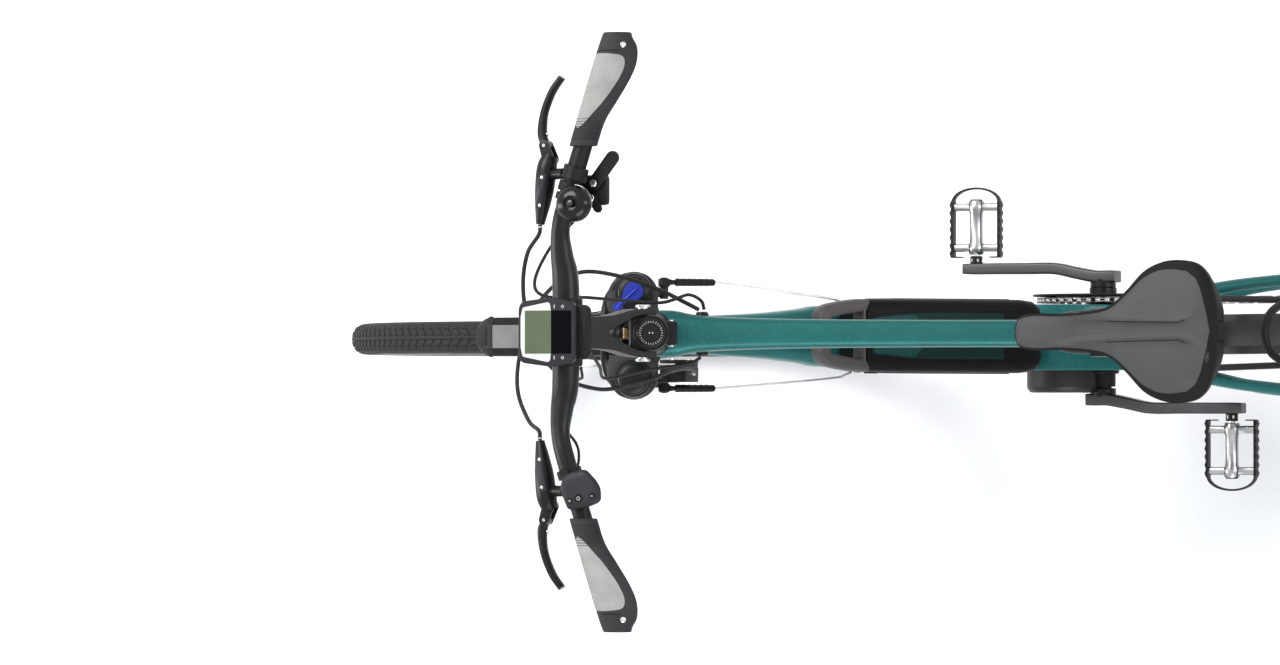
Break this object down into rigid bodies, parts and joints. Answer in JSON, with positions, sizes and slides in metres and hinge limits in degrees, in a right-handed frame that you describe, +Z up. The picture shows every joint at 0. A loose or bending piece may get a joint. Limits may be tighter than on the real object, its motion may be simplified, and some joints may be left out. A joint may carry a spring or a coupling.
{
  "type": "electric trekking bike",
  "caption": "Electric trekking bike with a mid motor, battery on the down tube, suspension fork, adjustable stem, display, mudguards, rear rack, kickstand and disc brakes.",
  "frame": {"origin": "on the floor, midway between the front and rear ends of the bike, on its middle plane", "axes": "+X towards the front wheel, +Y to the rider's left, +Z up"},
  "size_m": [1.8216, 0.704, 1.1469],
  "materials": {
    "teal_paint": "metallic teal lacquer",
    "teal_inlay": "metallic teal lacquer",
    "tyre_rubber": "moulded tread",
    "black_wheel": "black anodised rim and hub",
    "disc_steel": "ground",
    "chain_steel": "oiled",
    "grey_alloy": "satin grey",
    "black_alloy": "satin black",
    "black_plastic": "fine grain",
    "grey_plastic": "fine grain",
    "black_steel": "powder coat",
    "soft_rubber": "fine ribs",
    "saddle_cover": "grained cover",
    "blue_plastic": "moulded",
    "red_lens": "clear red",
    "screen": "smooth",
    "bell_enamel": "gloss black",
    "bright_steel": "polished"
  },
  "bodies": {
    "frame": {"main_frame": "teal_paint", "motor_housing": "grey_alloy", "rear_caliper": "black_alloy", "rear_mudguard": "black_plastic", "rear_rack": "black_steel", "rear_light": "red_lens", "derailleur_body": "black_alloy", "chain": "chain_steel", "hose_rear": "soft_rubber", "shift_cable": "soft_rubber", "motor_lead": "soft_rubber"},
    "battery": {"battery_case": "black_plastic", "battery_panel": "teal_inlay", "battery_handle": "grey_plastic"},
    "saddle": {"seatpost": "black_alloy", "saddle_shell": "black_plastic", "saddle_padding": "saddle_cover"},
    "steering": {"fork_crown": "black_alloy", "stem_base": "black_alloy", "headlight": "black_plastic"},
    "lockout": {"lockout_lever": "blue_plastic"},
    "cockpit": {"stem_arm": "black_alloy", "handlebar": "black_alloy", "grip_left": "soft_rubber", "grip_right": "soft_rubber", "brake_master_left": "black_alloy", "brake_master_right": "black_alloy", "shifter_body": "black_plastic", "bell_body": "bell_enamel", "display_unit": "screen", "display_holder": "black_plastic", "remote_body": "grey_plastic", "hose_front": "soft_rubber"},
    "left_lever": {"brake_lever_left": "black_alloy"},
    "right_lever": {"brake_lever_right": "black_alloy"},
    "upshift": {"shifter_release": "black_plastic"},
    "downshift": {"shifter_paddle": "black_plastic"},
    "bell_button": {"bell_knob": "bright_steel"},
    "power_key": {"remote_button": "grey_plastic"},
    "plus_key": {"remote_plus": "grey_plastic"},
    "minus_key": {"remote_minus": "grey_plastic"},
    "fork": {"fork_lowers": "black_alloy", "front_caliper": "black_alloy", "front_mudguard": "black_plastic"},
    "front_wheel": {"front_tyre": "tyre_rubber", "front_wheel": "black_wheel", "front_rotor": "disc_steel"},
    "rear_wheel": {"rear_tyre": "tyre_rubber", "rear_wheel": "black_wheel", "rear_rotor": "disc_steel"},
    "cassette": {"cassette": "chain_steel"},
    "crank": {"crank_right": "grey_alloy", "crank_left": "grey_alloy", "chainring": "black_alloy"},
    "right_pedal": {"pedal_right": "black_plastic"},
    "left_pedal": {"pedal_left": "black_plastic"},
    "cage": {"derailleur_cage": "disc_steel"},
    "guide_pulley": {"pulley_guide": "black_plastic"},
    "tension_pulley": {"pulley_tension": "black_plastic"},
    "kickstand": {"kickstand_leg": "black_alloy"}
  },
  "joints": [
    {"name": "steering_turn", "type": "hinge", "parent": "frame", "child": "steering", "pos_m": [0.3519, 0, 0.77792], "axis": [-0.3486, 0, 0.9373], "range_deg": [-40, 40], "deforming": ["hose_rear", "shift_cable", "motor_lead"]},
    {"name": "stem_tilt", "type": "hinge", "parent": "steering", "child": "cockpit", "pos_m": [0.28026, 0, 0.99923], "axis": [0, 1, 0], "range_deg": [-10, 20], "deforming": ["hose_front"]},
    {"name": "fork_travel", "type": "slide", "parent": "steering", "child": "fork", "axis": [-0.3486, 0, 0.9373], "range_m": [0, 0.063], "stiffness_N_per_m": 8000, "springref_m": -0.02},
    {"name": "lockout_turn", "type": "hinge", "parent": "steering", "child": "lockout", "pos_m": [0.3687, -0.0535, 0.80018], "axis": [0.3486, 0, -0.9373], "range_deg": [0, 90]},
    {"name": "front_wheel_spin", "type": "hinge", "parent": "fork", "child": "front_wheel", "pos_m": [0.55975, 0, 0.351], "axis": [0, 1, 0], "continuous": true},
    {"name": "rear_wheel_spin", "type": "hinge", "parent": "frame", "child": "rear_wheel", "pos_m": [-0.54525, 0, 0.351], "axis": [0, 1, 0], "continuous": true},
    {"name": "crank_spin", "type": "hinge", "parent": "frame", "child": "crank", "pos_m": [-0.07525, 0, 0.2825], "axis": [0, 1, 0], "continuous": true},
    {"name": "cassette_spin", "type": "hinge", "parent": "frame", "child": "cassette", "pos_m": [-0.54525, 0, 0.351], "axis": [0, 1, 0], "continuous": true},
    {"name": "right_pedal_spin", "type": "hinge", "parent": "crank", "child": "right_pedal", "pos_m": [0.09475, 0, 0.2825], "axis": [0, 1, 0], "continuous": true},
    {"name": "left_pedal_spin", "type": "hinge", "parent": "crank", "child": "left_pedal", "pos_m": [-0.24525, 0, 0.2825], "axis": [0, 1, 0], "continuous": true},
    {"name": "cage_swing", "type": "hinge", "parent": "frame", "child": "cage", "pos_m": [-0.54325, -0.0478, 0.267], "axis": [0, 1, 0], "range_deg": [-4, 4], "stiffness_Nm_per_rad": 0.5, "deforming": ["chain"]},
    {"name": "guide_pulley_spin", "type": "hinge", "parent": "cage", "child": "guide_pulley", "pos_m": [-0.54125, -0.0478, 0.263], "axis": [0, 1, 0], "continuous": true},
    {"name": "tension_pulley_spin", "type": "hinge", "parent": "cage", "child": "tension_pulley", "pos_m": [-0.51125, -0.0478, 0.211], "axis": [0, 1, 0], "continuous": true},
    {"name": "seatpost_slide", "type": "slide", "parent": "frame", "child": "saddle", "axis": [-0.2924, 0, 0.9563], "range_m": [-0.06, 0.12]},
    {"name": "battery_swing", "type": "hinge", "parent": "frame", "child": "battery", "pos_m": [-0.00213, 0, 0.43502], "axis": [0, -1, 0], "range_deg": [0, 12]},
    {"name": "kickstand_fold", "type": "hinge", "parent": "frame", "child": "kickstand", "pos_m": [-0.44525, 0.0755, 0.311], "axis": [0.0954, 0.9211, 0.3774], "range_deg": [0, 80]},
    {"name": "left_brake_pull", "type": "hinge", "parent": "cockpit", "child": "left_lever", "pos_m": [0.36775, 0.2212, 1.09], "axis": [0, 0, 1], "range_deg": [0, 24], "stiffness_Nm_per_rad": 0.6, "springref_deg": -5.73},
    {"name": "right_brake_pull", "type": "hinge", "parent": "cockpit", "child": "right_lever", "pos_m": [0.36775, -0.2212, 1.09], "axis": [0, 0, -1], "range_deg": [0, 24], "stiffness_Nm_per_rad": 0.6, "springref_deg": -5.73},
    {"name": "downshift_push", "type": "hinge", "parent": "cockpit", "child": "downshift", "pos_m": [0.30645, -0.1757, 1.088], "axis": [0, 0, 1], "range_deg": [0, 30], "stiffness_Nm_per_rad": 0.15, "springref_deg": -5.73},
    {"name": "upshift_push", "type": "hinge", "parent": "cockpit", "child": "upshift", "pos_m": [0.30975, -0.1585, 1.088], "axis": [0, 0, -1], "range_deg": [0, 12], "stiffness_Nm_per_rad": 0.1, "springref_deg": -5.73},
    {"name": "bell_press", "type": "slide", "parent": "cockpit", "child": "bell_button", "axis": [0, 0, -1], "range_m": [0, 0.003], "stiffness_N_per_m": 300, "springref_m": -0.002},
    {"name": "power_press", "type": "slide", "parent": "cockpit", "child": "power_key", "axis": [0, 0, -1], "range_m": [0, 0.001], "stiffness_N_per_m": 500, "springref_m": -0.001},
    {"name": "plus_press", "type": "slide", "parent": "cockpit", "child": "plus_key", "axis": [0, 0, -1], "range_m": [0, 0.001], "stiffness_N_per_m": 500, "springref_m": -0.001},
    {"name": "minus_press", "type": "slide", "parent": "cockpit", "child": "minus_key", "axis": [0, 0, -1], "range_m": [0, 0.001], "stiffness_N_per_m": 500, "springref_m": -0.001}
  ],
  "couplings": [
    {"joint": "cassette_spin", "follows": "crank_spin", "ratio": 2},
    {"joint": "guide_pulley_spin", "follows": "crank_spin", "ratio": -3.6364},
    {"joint": "tension_pulley_spin", "follows": "crank_spin", "ratio": 3.6364}
  ]
}
